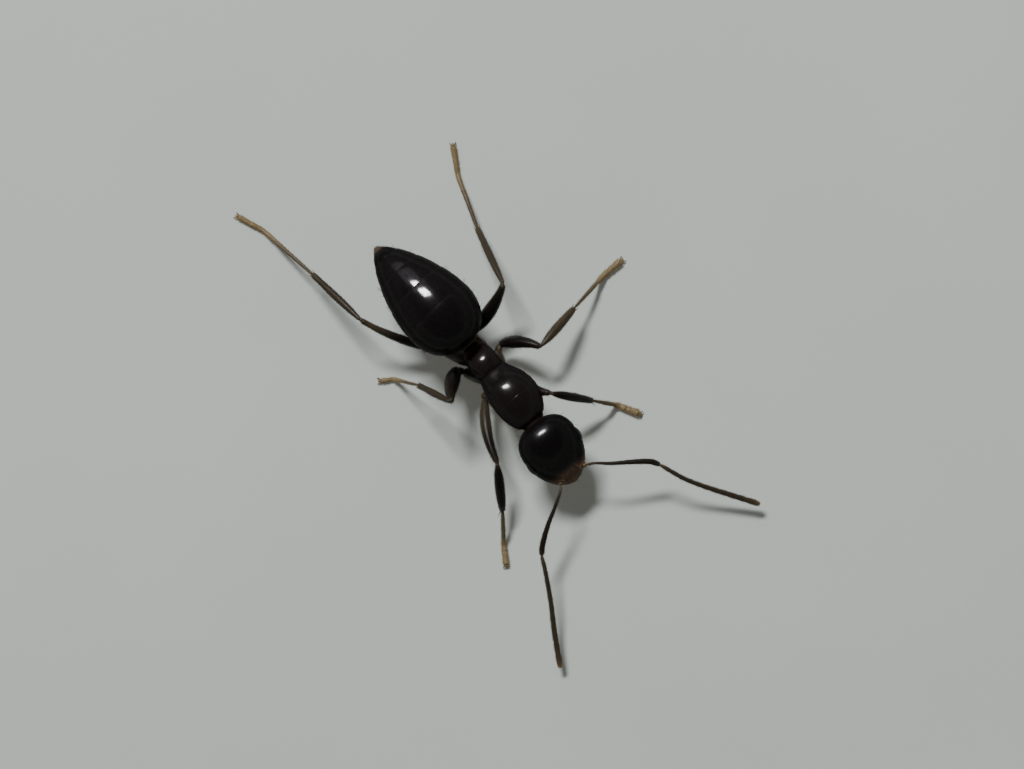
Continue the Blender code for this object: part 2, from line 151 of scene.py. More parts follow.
# -- limb outlines, as (share of length, radius), and shares of a limb --
COXA = [(0, 0.17), (0.35, 0.2), (0.75, 0.15), (1, 0.1)]
COXA_TONES = [(0, 0.18), (0.5, 0.24), (0.9, 0.42), (1, 0.5)]
TROCHANTER = [(0, 0.085), (0.5, 0.098), (1, 0.075)]
SPUR = [(0, 0.015), (0.5, 0.011), (1, 0.003)]
CLAW = [(0, 0.018), (0.4, 0.015), (0.8, 0.008), (1, 0.003)]
SCAPE = [(0, 0.03), (0.1, 0.033), (0.3, 0.042), (0.65, 0.062), (0.92, 0.07), (1, 0.054)]
FUNICULUS = [(0, 0.04), (0.1, 0.05), (0.4, 0.056), (0.88, 0.068), (1, 0.056)]
FEELER_TIP = [(0, 0.056), (0.3, 0.068), (0.7, 0.066), (1, 0.045)]
PALP = [(0, 0.022), (0.5, 0.026), (1, 0.016)]
ACIDOPORE = [(0, 0.17), (0.35, 0.152), (0.7, 0.095), (1, 0.04)]
TARSUS_SHARES = [0.53, 0.15, 0.1, 0.08, 0.14]
FUNICULUS_SHARES = [1.25, 0.85, 0.85, 0.9, 0.95, 1, 1, 1, 1, 1.05, 1.6]

# -- tones, from the blackest plate (0) to the palest foot (1), and their colours --
SHELL = [
    (0.0, (0.0024, 0.0021, 0.0024)), (0.1, (0.0072, 0.0058, 0.0062)),
    (0.22, (0.0175, 0.0122, 0.0115)), (0.42, (0.058, 0.035, 0.027)),
    (0.62, (0.15, 0.093, 0.057)), (0.82, (0.33, 0.2, 0.085)), (1.0, (0.52, 0.36, 0.18)),
]
LIMB = [
    (0.0, (0.004, 0.0031, 0.0026)), (0.18, (0.019, 0.013, 0.0085)),
    (0.34, (0.044, 0.0345, 0.022)), (0.5, (0.098, 0.069, 0.037)),
    (0.68, (0.21, 0.154, 0.078)), (0.84, (0.365, 0.282, 0.145)), (1.0, (0.53, 0.435, 0.26)),
]
SCAPE_TONES = [(0, 0.48), (0.05, 0.38), (0.14, 0.28), (0.35, 0.16), (0.9, 0.12), (1, 0.34)]
FUNICULUS_TONES = [(0, 0.45), (0.06, 0.34), (0.2, 0.28), (0.8, 0.31), (0.94, 0.4), (1, 0.66)]
TARSUS_TONES = [(0, 0.42), (0.25, 0.46), (0.5, 0.56), (0.62, 0.66), (1, 0.7)]

# -- hairs: lengths, radius at the root, degrees above the skin, bend --
DOWN = dict(length=(0.045, 0.075), radius=0.0028, lean=14, curl=0.05, parts=2)  # lies flat
BRISTLE = dict(length=(0.1, 0.18), radius=0.0062, lean=62, curl=0.26, spread=0.3, parts=4)
LEG_DOWN = dict(length=(0.05, 0.09), radius=0.0027, lean=24, curl=0.08)
LEG_BRISTLE = dict(length=(0.08, 0.12), radius=0.0045, lean=40, curl=0.14)
FOOT_DOWN = dict(length=(0.045, 0.08), radius=0.0029, lean=34, curl=0.12)
FRINGE = dict(length=(0.05, 0.08), radius=0.003, lean=30, curl=0.05)
MARGIN, MAP_LENGTH = 0.002, 0.003  # on the map: round a strip, and a hair's length

# -- studio, in metres and degrees --
LIGHT_DISTANCE = 0.3
LIGHTS = [  # (name, azimuth, elevation, size, watts, colour)
    ("key", 13.7, 52, (0.082, 0.032), 1.08, (1.0, 0.99, 0.97)),
    ("sheen", 12, 38, (0.2, 0.14), 0.06, (0.9, 0.86, 1.0)),
]
SKY = [(0.0, (0.2, 0.22, 0.22)), (0.4, (0.09, 0.1, 0.1)), (0.8, (0.018, 0.018, 0.021))]
FLOOR_GREYS = [(0.3, (0.435, 0.485, 0.46)), (0.7, (0.465, 0.515, 0.49))]
FLOOR_FLAT, FLOOR_CURVE = 0.25, 0.45  # radius of its flat part, and how far it curves up
CAMERA_HEIGHT, CAMERA_TURN = 0.16, -40.3
VIEW_WIDTH, VIEW_MIDDLE = 26.6 * MM, (np.array((0.385, -0.637, 0.0)) - MIDDLE) * MM


# == number tools ==


def unit(v):
    """Vectors of the same direction, one long."""
    return v / np.maximum(np.linalg.norm(v, axis=-1, keepdims=True), 1e-9)


def through(rows, at):
    """Values at places on a smooth curve through rows of (place, value, ...)."""
    rows, at = np.asarray(rows, float), np.asarray(at, float)
    x, y = rows[:, 0], rows[:, 1:]
    number = np.arange(len(x))
    ahead, behind = np.minimum(number + 1, len(x) - 1), np.maximum(number - 1, 0)
    slope = (y[ahead] - y[behind]) / (x[ahead] - x[behind])[:, None]
    i = np.clip(np.searchsorted(x, at) - 1, 0, len(x) - 2)
    span = (x[i + 1] - x[i])[..., None]
    t = np.clip((at - x[i])[..., None] / span, 0, 1)
    return (
        (2 * t**3 - 3 * t**2 + 1) * y[i] + (t**3 - 2 * t**2 + t) * slope[i] * span
        + (3 * t**2 - 2 * t**3) * y[i + 1] + (t**3 - t**2) * slope[i + 1] * span
    )


def mid_x(y):
    """X of the body's middle at a place along it."""
    return through(MID_LINE, y)[..., 0]


def ease(low, high, value):
    """0 below low, 1 above high, and a smooth rise between."""
    t = np.clip((value - low) / (high - low), 0, 1)
    return t * t * (3 - 2 * t)


def bump_at(distance, width):
    """1 on a line or spot, fading to 0 within about two widths of it."""
    return np.exp(-((distance / width) ** 2))


def egg(t, widest, front, rear):
    """Share of the full width at t, for an egg. front, rear: (power, root)."""
    gone = np.where(t < widest, (widest - t) / widest, (t - widest) / (1 - widest))
    power = np.where(t < widest, front[0], rear[0])
    root = np.where(t < widest, front[1], rear[1])
    return np.maximum(1 - np.clip(gone, 0, 1) ** power, 0) ** root


def ring(turn, square):
    """Shares of the half width and half height at an angle round a squarish oval."""
    c, s = np.cos(turn), np.sin(turn)
    return np.sign(c) * np.abs(c) ** (2 / square), np.sign(s) * np.abs(s) ** (2 / square)


def side_turn(turn):
    """Angle above the widest line, the same on both sides, in radians."""
    return np.arcsin(np.clip(np.sin(turn), -1, 1))


def angles(count):
    """Angles spread evenly round a circle."""
    return np.arange(count) * 2 * np.pi / count


def crowded(count):
    """Stations from 0 to 1, closer together at both ends."""
    return (1 - np.cos(np.pi * np.arange(count + 1) / count)) / 2


def edged(count, edge):
    """Stations from 0 to 1 for a plate, and how far each is rounded off."""
    middle = np.linspace(edge, 1 - edge, count)
    places = np.concatenate(([0, edge * 0.3], middle, [1 - edge * 0.3, 1]))
    drop = np.zeros(len(places))
    drop[[0, -1]], drop[[1, -2]] = 1, 0.3
    return places, drop


def line_distance(x, y, start, end):
    """Distance from (x, y) to the line between two points."""
    start, end = np.array(start), np.array(end)
    way = end - start
    t = np.clip(((x - start[0]) * way[0] + (y - start[1]) * way[1]) / way.dot(way), 0, 1)
    return np.hypot(x - start[0] - t * way[0], y - start[1] - t * way[1])


def measured(path):
    """Rows of (share of length, x, y, z) for the points of a path, and its length."""
    path = np.asarray(path, float)
    steps = np.concatenate(([0], np.cumsum(np.linalg.norm(np.diff(path, axis=0), axis=1))))
    return np.column_stack((steps / steps[-1], path)), steps[-1]


def bent(a, b, bow=(0, 0, 0)):
    """Five points from a to b along a gentle arch, bow high in the middle."""
    t = np.linspace(0, 1, 5)[:, None]
    return a * (1 - t) + b * t + np.asarray(bow) * (4 * t * (1 - t))


# == sheets ==


class Sheet:
    """A grid of points closed round, with a normal and a way along at each."""

    def __init__(self, points, tone=0.0):
        self.tone = np.broadcast_to(np.asarray(tone, float), points.shape[:2])
        self.bare = np.zeros(points.shape[:2], bool)  # where no hair grows
        self.set(points)

    def set(self, points):
        """Take new points, and work out their normals and ways."""
        self.points = points
        along = np.gradient(points, axis=0)
        around = np.roll(points, -1, 1) - np.roll(points, 1, 1)
        normal = unit(np.cross(around, along))
        inside = points.mean(axis=1, keepdims=True)
        flip = np.sign((normal * (points - inside)).sum())
        self.along, self.normal = unit(along), normal * flip

    def raised(self, amount):
        """Push the surface outward by an amount at each point."""
        self.set(self.points + self.normal * amount[..., None])


def grid(rows, columns):
    """Stations along and angles round, for every point of a sheet."""
    return np.meshgrid(rows, angles(columns), indexing="ij")


def carried(ways):
    """A sideways direction for each step of a path, without a twist."""
    side, sides = unit(np.cross(ways[0], UP)), []
    for way in ways:
        side = unit(side - way * side.dot(way))
        sides.append(side)
    return np.array(sides)


def tube(path, profile, tones, columns, rows, wide=1.0, cap=1.0, part=(0, 1)):
    """An oval tube on a smooth curve. profile and tones are rows of (share of length, radius
    or tone), part is the stretch of the tones it takes, and cap its domed ends in radii."""
    knots, length = measured(path)
    profile = np.asarray(profile, float)
    share = crowded(rows)
    centre = through(knots, share)
    radius = through(profile, share)[:, 0]
    domed = np.zeros(len(share), bool)
    for end, far in ((0, share * length), (1, (1 - share) * length)):
        gone = np.clip(1 - far / (cap * profile[-end, 1]), 0, 1)
        radius = radius * np.sqrt(np.maximum(1 - gone**2, 0))
        domed |= gone > 0.3
    ways = unit(np.gradient(centre, axis=0))
    sides = carried(ways)
    lifts = np.cross(sides, ways)
    turn = angles(columns)[None, :, None]
    points = centre[:, None] + radius[:, None, None] * (
        np.cos(turn) * wide * sides[:, None] + np.sin(turn) * lifts[:, None])
    place = part[0] + (part[1] - part[0]) * share
    sheet = Sheet(points, np.interp(place, *np.array(tones).T)[:, None])
    sheet.bare = np.broadcast_to(domed[:, None], points.shape[:2])
    return sheet


def beads(path, shares, profile, tones, columns, rows, waist, cap):
    """A row of jointed segments along a path, each narrower at its near end."""
    knots, _ = measured(path)
    ends = np.concatenate(([0], np.cumsum(shares)))
    ends = ends / ends[-1]
    sheets = []
    for a, b in zip(ends, ends[1:]):
        overlap = 0.1 * (b - a)
        spots = through(knots, np.linspace(a - overlap * (a > 0), b, 5))
        near, far = through(profile, np.array((a, b)))[:, 0]
        middle = (near + far) / 2 * (0.55 + 0.45 * waist)
        shape = [(0, near * waist), (0.25, middle), (0.8, far * 1.02), (1, far * 0.98)]
        sheets.append(tube(spots, shape, tones, columns, rows, cap=cap, part=(a, b)))
    return sheets


def body_section(rows, y, turn, square, widest):
    """Across, height and rise at places round a body that is widest at a share of its height."""
    wide, top, bottom = np.moveaxis(through(rows, y), -1, 0)
    side, rise = ring(turn, square)
    centre = bottom + widest * (top - bottom)
    return side * wide, centre + rise * np.where(rise > 0, top - centre, centre - bottom), rise


def drum(start, end, rows, columns, at, relief, lip, drop, edge=0.012):
    """A body plate from one seam to the next, its rear edge lifted. start and end are places
    or functions of the angle. Returns its sheet, and each point's place and angle."""
    places, rounded = edged(rows, edge)
    share, turn = grid(places, columns)
    first, last = (place(turn) if callable(place) else place for place in (start, end))
    along = first + (last - first) * share
    sheet = Sheet(at(along, turn))
    sheet.raised(relief(along, turn) + lip * ease(0.55, 0.97, share) - drop * rounded[:, None])
    sheet.edge = ease(0.9, 1.0, share)
    return sheet, along, turn


# == mesh making ==


def put(points):
    """Metres round the stance's middle, with nothing under the floor."""
    above = np.maximum(points, (-np.inf, -np.inf, LOWEST))
    return ((above - MIDDLE) * MM).astype(np.float32)


def placed(name, data):
    """A new object in the scene."""
    made = bpy.data.objects.new(name, data)
    bpy.context.scene.collection.objects.link(made)
    return made


def cleaned(mesh):
    """Drop faces of no size, and turn every face outward."""
    bm = bmesh.new()
    bm.from_mesh(mesh)
    bmesh.ops.dissolve_degenerate(bm, dist=1e-8, edges=bm.edges)
    bmesh.ops.recalc_face_normals(bm, faces=bm.faces)
    bm.to_mesh(mesh)
    bm.free()


def mesh_piece(name, points, faces, slot, tone, surface=None, corners_uv=None):
    """A smooth mesh object from points in millimetres and arrays of faces. Its material
    has the slot's name unless a surface is given."""
    mesh = bpy.data.meshes.new(name)
    loops = np.concatenate([f.ravel() for f in faces]).astype(np.int32)
    sizes = np.concatenate([np.full(len(f), f.shape[1]) for f in faces])
    starts = np.concatenate(([0], np.cumsum(sizes)[:-1])).astype(np.int32)
    mesh.vertices.add(len(points))
    mesh.vertices.foreach_set("co", put(points).ravel())
    mesh.loops.add(len(loops))
    mesh.loops.foreach_set("vertex_index", loops)
    mesh.polygons.add(len(sizes))
    mesh.polygons.foreach_set("loop_start", starts)
    mesh.polygons.foreach_set("use_smooth", np.ones(len(sizes), bool))
    if corners_uv is not None:
        layer = mesh.uv_layers.new(name="OFBake")
        layer.data.foreach_set("uv", corners_uv.astype(np.float32).ravel())
    stored = mesh.attributes.new("tone", "FLOAT", "POINT")
    stored.data.foreach_set("value", tone.astype(np.float32))
    mesh.update(calc_edges=True)
    if corners_uv is None:
        cleaned(mesh)
    mesh.materials.append(SURFACES[surface or slot])
    piece = placed(name, mesh)
    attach(piece, "root")
    return piece


def quad_faces(rows, columns):
    """Faces between the rows of a closed-round grid."""
    i, j = np.meshgrid(np.arange(rows - 1) * columns, np.arange(columns), indexing="ij")
    n = (j + 1) % columns
    return np.stack((i + j, i + n, i + columns + n, i + columns + j), -1).reshape(-1, 4)


def end_faces(rows, columns):
    """Fans that close a grid at both ends, on two points that follow the grid's own."""
    j = np.arange(columns)
    n = (j + 1) % columns
    last_row, first_end = (rows - 1) * columns, rows * columns
    near = np.stack((n, j, np.full(columns, first_end)), -1)
    far = np.stack((j + last_row, n + last_row, np.full(columns, first_end + 1)), -1)
    return np.concatenate((near, far))


def solid(name, sheets, slot, *nodes):
    """One piece from sheets, each closed by a point at both ends; it replaces the nodes."""
    points, faces, tones, start = [], [], [], 0
    for sheet in sheets:
        rows, columns = sheet.points.shape[:2]
        points += [sheet.points.reshape(-1, 3), sheet.points[[0, -1]].mean(axis=1)]
        tones += [sheet.tone.ravel(), sheet.tone[[0, -1]].mean(axis=1)]
        faces += [quad_faces(rows, columns) + start, end_faces(rows, columns) + start]
        start += rows * columns + 2
    points, tones = np.concatenate(points), np.concatenate(tones)
    piece = mesh_piece(name, points, faces, slot, tones)
    if nodes:
        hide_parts(*nodes)


# == materials ==


def set_inputs(tree, node, **values):
    """Set a node's inputs or settings by name, to plain values or to another's output."""
    for key, value in values.items():
        socket = node.inputs.get(key.replace("_", " "))
        if socket is None:
            setattr(node, key, value)
        elif isinstance(value, bpy.types.NodeSocket):
            tree.links.new(value, socket)
        else:
            socket.default_value = value


def add_node(tree, kind, **values):
    """A new node with its inputs and settings."""
    node = tree.nodes.new(kind)
    set_inputs(tree, node, **values)
    return node


def new_material(name, roughness, **values):
    """Tree and shader of a new Principled material."""
    made = SURFACES[name] = bpy.data.materials.new(name)
    made.use_nodes = True
    tree, shader = made.node_tree, made.node_tree.nodes["Principled BSDF"]
    set_inputs(tree, shader, Roughness=roughness, **values)
    return tree, shader


def stored_tone(tree):
    """The tone kept at each point of the mesh."""
    return add_node(tree, "ShaderNodeAttribute", attribute_name="tone").outputs["Fac"]


def texture(tree, kind, size, output, **values):
    """A texture fixed to the ant, with features of about size millimetres."""
    fixed = add_node(tree, "ShaderNodeTexCoord").outputs["Object"]
    return add_node(tree, kind, **values, Scale=1 / (size * MM), Vector=fixed).outputs[output]


def noise(tree, size, detail):
    """Cloudy noise."""
    return texture(tree, "ShaderNodeTexNoise", size, "Fac", Detail=detail)


def ramp(tree, source, stops):
    """Colours for a value, from stops of (value, colour)."""
    node = add_node(tree, "ShaderNodeValToRGB", Fac=source)
    while len(node.color_ramp.elements) < len(stops):
        node.color_ramp.elements.new(0.5)
    for element, (place, colour) in zip(node.color_ramp.elements, stops):
        element.position, element.color = place, (*colour, 1)
    return node.outputs["Color"]


def maths(tree, operation, a, b):
    """The result of a Math node on two numbers or outputs."""
    node = add_node(tree, "ShaderNodeMath", operation=operation)
    for socket, value in zip(node.inputs, (a, b)):
        if isinstance(value, (int, float)):
            socket.default_value = value
        else:
            tree.links.new(value, socket)
    return node.outputs[0]


def bump(tree, height, distance, **below):
    """A bumped normal, over another one if Normal is given. distance is in metres."""
    node = add_node(tree, "ShaderNodeBump", Strength=1.0, Distance=distance, Height=height, **below)
    return node.outputs["Normal"]


def chitin(name, roughness, tones=SHELL, dent=0.6, mottle=0.05, **values):
    """Shell: colour by tone with cloudy mottling, fine net-like sculpture, soft waviness."""
    tree, shader = new_material(name, roughness, IOR=1.56, **values)
    cloud = maths(tree, "MULTIPLY", maths(tree, "SUBTRACT", noise(tree, 0.22, 4), 0.5), mottle)
    colour = ramp(tree, maths(tree, "ADD", stored_tone(tree), cloud), tones)
    uneven = maths(tree, "MULTIPLY", noise(tree, 0.11, 3), 0.12)
    rough = maths(tree, "ADD", uneven, roughness - 0.06)
    edges = texture(tree, "ShaderNodeTexVoronoi", 0.018, "Distance", feature="DISTANCE_TO_EDGE")
    net = bump(tree, ramp(tree, edges, [(0, (0, 0, 0)), (0.18, (1, 1, 1))]), dent * 1e-6)
    wavy = bump(tree, noise(tree, 0.3, 3), 9e-6, Normal=net)
    set_inputs(tree, shader, Base_Color=colour, Roughness=rough, Normal=wavy)
    return tree, shader


def glossy_plate(name, roughness, coat_roughness):
    """Chitin under a clear gloss, which fine down dulls where the plate is seen edge-on."""
    full, least = 0.95, 0.02
    tree, shader = chitin(name, roughness, Specular_IOR_Level=0.015, Coat_Weight=full,
                          Coat_Roughness=coat_roughness, Coat_IOR=1.45)
    facing = add_node(tree, "ShaderNodeLayerWeight", Blend=0.5).outputs["Facing"]
    fade = ramp(tree, facing, [(0.09, (full,) * 3), (0.42, (least,) * 3)])
    set_inputs(tree, shader, Coat_Weight=fade)


def hair_material(name, tones, gain, lift):
    """Hairs take the skin's tone at the root, times gain and plus lift."""
    tree, shader = new_material(name, 0.45, IOR=1.55, Specular_IOR_Level=0.12)
    shifted = maths(tree, "ADD", maths(tree, "MULTIPLY", stored_tone(tree), gain), lift)
    set_inputs(tree, shader, Base_Color=ramp(tree, shifted, tones))


def floor_material():
    """Pale grey with slow, faint changes, glowing faintly warm: painted light that lifts the
    shadows cast on it.
    """
    tree, shader = new_material("floor", 0.55, Emission_Color=(1.0, 0.96, 0.86, 1),
                                Emission_Strength=0.075)
    set_inputs(tree, shader, Base_Color=ramp(tree, noise(tree, 9.0, 4), FLOOR_GREYS))


def make_materials():
    """The ant's materials. All but the hairs' carry the name of their slot."""
    glossy_plate("black_shell", 0.4, 0.17)
    glossy_plate("gaster_shell", 0.32, 0.11)
    chitin("red_shell", 0.3, Specular_IOR_Level=0.3, Coat_Weight=0.5, Coat_Roughness=0.08)
    chitin("leg_brown", 0.37, LIMB, Specular_IOR_Level=0.18, mottle=0.14)
    chitin("foot_tan", 0.5, LIMB, Specular_IOR_Level=0.35, mottle=0.16)
    chitin("feeler_brown", 0.4, LIMB, Specular_IOR_Level=0.18, mottle=0.08)
    chitin("eye_black", 0.3, dent=0.2, Specular_IOR_Level=0.15, Coat_Weight=0.3, Coat_Roughness=0.1)
    hair_material("body_hair", SHELL, 0.95, 0.08)
    hair_material("limb_hair", LIMB, 1.15, 0.04)


# == head ==


def turned(angle, axis):
    """The matrix of a turn about one axis."""
    i, j = (axis + 1) % 3, (axis + 2) % 3
    matrix = np.eye(3)
    matrix[i, i] = matrix[j, j] = math.cos(angle)
    matrix[j, i] = math.sin(angle)
    matrix[i, j] = -matrix[j, i]
    return matrix


def from_head(points):
    """From the head's own axes to the ant's."""
    axes = turned(HEAD_YAW, 2) @ turned(HEAD_PITCH, 0) @ turned(HEAD_ROLL, 1) @ np.diag((1, -1, 1))
    return np.asarray(points, float) @ axes.T + HEAD_AT


def socket_distance(x, y):
    """Distance from the middle of a feeler's socket."""
    return np.hypot(x - SOCKET_AT[0], y - SOCKET_AT[1])


def eye_distance(y, z):
    """Distance from the middle of an eye, 1 being its rim."""
    return np.sqrt(((y - EYE_AT[1]) / EYE_SIZE[1]) ** 2 + ((z - EYE_AT[2]) / EYE_SIZE[2]) ** 2)


def head_relief(p):
    """Ridges, pits and grooves of the head, as heights at points."""
    x, y, z = np.abs(p[..., 0]), p[..., 1], p[..., 2]
    above, below = ease(0.0, 0.12, z), ease(0.0, 0.12, -z)
    socket, eye = socket_distance(x, y), eye_distance(y, z)
    carina = 0.022 * bump_at(line_distance(x, y, *CARINA), 0.03)
    pit = 0.026 * bump_at(socket - SOCKET_RIM, 0.024) - 0.05 * bump_at(socket, 0.055)
    mid_line = 0.007 * bump_at(x, 0.014) * ease(-0.55, -0.2, y) * ease(0.46, 0.4, y)
    triangle = (0.008 * ease(0.02, -0.02, x - 0.75 * (y - 0.42))
                * ease(0.42, 0.46, y) * ease(0.58, 0.56, y))
    hind_seam = bump_at(np.minimum(np.abs(y - 0.6 - 0.9 * x**2), 1), 0.016) * ease(0.33, 0.29, x)
    side_seam = bump_at(line_distance(x, y, *CLYPEUS_SIDE), 0.016)
    keel = 0.014 * bump_at(x, 0.045) * ease(0.64, 0.72, y)
    high = carina + pit - mid_line - triangle - 0.016 * np.maximum(hind_seam, side_seam) + keel
    under_seam = -0.012 * bump_at(x, 0.016) * ease(0.42, 0.34, y)
    eye_seat = (0.01 * bump_at(eye - 1.1, 0.07) - 0.04 * ease(1.12, 0.85, eye)) * ease(0.5, 0.6, x)
    return high * above + under_seam * below + eye_seat


def head_capsule():
    """The head with its clypeus, cut flat at the mouth, browner towards the front."""
    rows, turn = grid(crowded(200), 300)
    forward = HEAD_BACK + (HEAD_FRONT - HEAD_BACK) * rows
    side, rise = ring(turn, 2.04)
    wide = HEAD_WIDE * egg(rows, 0.42, (3.0, 0.5), (1.9, 0.6))
    high = egg(rows, 0.4, (2.2, 0.5), (1.8, 0.55)) * np.where(rise > 0, HEAD_TOP, HEAD_UNDER)
    sheet = Sheet(np.stack((side * wide, forward, rise * high), -1))
    sheet.raised(head_relief(sheet.points))
    beyond_mouth = sheet.points @ MOUTH_SLOPE - MOUTH_REACH
    p = sheet.points - np.maximum(beyond_mouth, 0)[..., None] * MOUTH_SLOPE

    x, y, z = np.abs(p[..., 0]), p[..., 1], p[..., 2]
    socket = socket_distance(x, y)
    face = 0.35 * ease(0.72, 0.46, np.hypot(0.72 * x, y - 0.88))
    rim = 0.08 * bump_at(socket - 0.07, 0.05) * ease(0, 0.1, z)
    nape = 0.08 * ease(-0.8, -1.02, y) * (z < 0)
    sheet = Sheet(from_head(p), 0.05 + face + 0.19 * ease(0.0, 0.6, y) + rim + nape)
    solid("head_capsule", [sheet], "black_shell", "head", "clypeus")
    sheet.bare = (
        ((eye_distance(y, z) < 1.25) & (x > 0.5)) | (beyond_mouth > -0.02) | (socket < 0.13))
    return sheet


def lens_spots():
    """Middles of close-set lenses, in shares of the eye's half size."""
    spots = []
    for row in range(-16, 17):
        for column in range(-16, 17):
            a, b = LENS_STEP * (column + 0.5 * (row % 2)), LENS_STEP * row * math.sqrt(0.75)
            if math.hypot(a, b) < 0.97:
                spots.append((a, b))
    return np.array(spots)


def eye_dome(side, a, b, lift):
    """Points on an eye's low dome, a along it and b up it, lifted off its surface."""
    out = np.sqrt(np.maximum(1 - a**2 - b**2, 0)) * (EYE_SIZE[0] + lift) - EYE_SUNK
    local = (side * (EYE_AT[0] + out), EYE_AT[1] + EYE_SIZE[1] * a, EYE_AT[2] + EYE_SIZE[2] * b)
    return from_head(np.stack(local, -1))


def eyes():
    """Low domes of six-sided lenses, of three rings and a middle each, over a smooth bowl."""
    spots = lens_spots()
    k = np.arange(6)
    n = (k + 1) % 6
    corners = k * np.pi / 3 + np.pi / 6
    quads = np.concatenate([np.stack((r + k, r + n, r + 6 + n, r + 6 + k), -1) for r in (0, 6)])
    fans = np.stack((12 + k, 12 + n, np.full(6, 18)), -1)
    each = 3 * len(k) + 1
    base = (np.arange(len(spots)) * each)[:, None, None]
    turn, out = np.meshgrid(angles(48), np.linspace(0, 1, 16))
    for name, side in SIDES:
        rings = []
        for share, lift in LENS_RINGS:
            a = spots[:, :1] + np.cos(corners) * LENS_STEP * share
            b = spots[:, 1:] + np.sin(corners) * LENS_STEP * share
            rings.append(eye_dome(side, a, b, lift))
        middle = eye_dome(side, spots[:, 0], spots[:, 1], 0.0075)[:, None]
        lenses = np.concatenate((*rings, middle), axis=1).reshape(-1, 3)
        bowl = eye_dome(side, np.cos(turn) * out, np.sin(turn) * out, -0.004).reshape(-1, 3)
        points = np.concatenate((lenses, bowl))
        faces = [(quads + base).reshape(-1, 4), (fans + base).reshape(-1, 3),
                 quad_faces(16, 48) + len(lenses)]
        piece = mesh_piece(f"eye_{name}_lenses", points, faces, "eye_black", np.zeros(len(points)))
        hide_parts(f"eye_{name}")


def mandibles():
    """Closed jaws: curved blades with teeth along the inner edge."""
    s, turn = grid(crowded(100), 40)
    across = np.cos(turn)
    for name, side in SIDES:
        tooth = np.abs((s * 11 + 0.25 * side) % 1 - 0.5) * 2
        bite = 0.03 * (tooth - 0.5) * ease(0.4, 0.46, s) * ease(1.0, 0.93, s)
        outer, inner = through(JAW_OUTER, s), through(JAW_INNER, s) + bite[..., None] * (1, 0)
        half = (outer - inner) / 2
        flat = (outer + inner) / 2 + half * across[..., None]
        droop = -0.3 + 0.014 * side - 0.05 * s**2 - 0.1 * across**2 * half[..., 0]
        height = droop + np.sin(turn) * through(JAW_THICK, s)[..., 0]
        dark_teeth = 0.22 * np.clip(-across, 0, 1) ** 3 * ease(0.3, 0.5, s)
        local = np.stack((side * flat[..., 0], flat[..., 1], height), -1)
        sheet = Sheet(from_head(local), 0.44 - 0.22 * ease(0.4, 1.0, s) - dark_teeth)
        solid(f"mandible_{name}_blade", [sheet], "red_shell", f"mandible_{name}")


def mouthparts():
    """The lobes under the mouth, with their two pairs of jointed palps."""
    sheets = []
    rows, turn = grid(crowded(24), 28)
    bulge = np.sqrt(np.maximum(1 - (2 * rows - 1) ** 2, 0))
    for at, size in LOBES:
        local = np.stack((at[0] + np.cos(turn) * bulge * size[0], at[1] + (2 * rows - 1) * size[1],
                          at[2] + np.sin(turn) * bulge * size[2]), -1)
        sheets.append(Sheet(from_head(local), 0.4))
    for _, side in SIDES:
        for path, count in PALPS:
            path = from_head(np.array(path) * (side, 1, 1))
            sheets += beads(path, [1 / count] * count, PALP, [(0, 0.55), (1, 0.55)], 10, 8,
                            waist=0.72, cap=0.4)
    solid("mouthparts", sheets, "red_shell")


# == mesosoma ==


def mesosoma_at(y, turn):
    """Points round the mesosoma, which stands a little to one side."""
    across, z, rise = body_section(MESOSOMA, y, turn, square=2.0, widest=0.6)
    lean = -0.07 * np.maximum(rise, 0) * ease(0.3, -0.3, y)
    return np.stack((mid_x(y) + across + lean, y, z), -1)


def pronotum_edge(turn):
    """Where the pronotum ends: further back on top than at the sides."""
    return -1.03 + 0.1 * np.sin(turn)


def front_relief(y, turn):
    """The pronotum's collar."""
    return -0.02 * bump_at(y + 1.7, 0.035) + 0.012 * bump_at(y + 1.77, 0.03)


def middle_relief(y, turn):
    """The mesonotum's seams, side bulge and fall to the groove."""
    high = side_turn(turn)
    seam = -0.012 * bump_at(high - 0.3, 0.04)
    pleuron = 0.025 * bump_at(high + 0.1, 0.3) * bump_at(y + 0.52, 0.32)
    scuto = -0.003 * bump_at(y + 0.3 - 0.05 * np.abs(np.cos(turn)), 0.03) * ease(0.4, 0.5, high)
    groove = -0.05 * np.exp(np.minimum(y - GROOVE_Y, 0) / 0.055) * ease(-0.1, 0.5, high)
    return seam + pleuron + scuto + groove


def rear_relief(y, turn):
    """The propodeum's breathing hole, gland, slit, seam and rise from the groove."""
    high = side_turn(turn)
    hole = np.hypot(y - 0.3, (high - 0.3) * 0.38)
    spiracle = 0.014 * bump_at(hole - 0.045, 0.014) - 0.03 * bump_at(hole, 0.022)
    gland = 0.03 * bump_at(np.hypot(y - 0.46, (high + 0.45) * 0.34), 0.11)
    slit_line = line_distance(y, high * 0.34, (0.5, -0.21), (0.6, -0.05))
    slit = -0.022 * bump_at(slit_line, 0.016)
    seam = -0.015 * bump_at(high + 0.1 - 0.5 * (y + 0.1), 0.05) * ease(0.3, 0.12, y)
    groove = -0.034 * np.exp(np.minimum(GROOVE_Y - y, 0) / 0.055) * ease(-0.1, 0.5, high)
    return spiracle + gland + slit + seam + groove


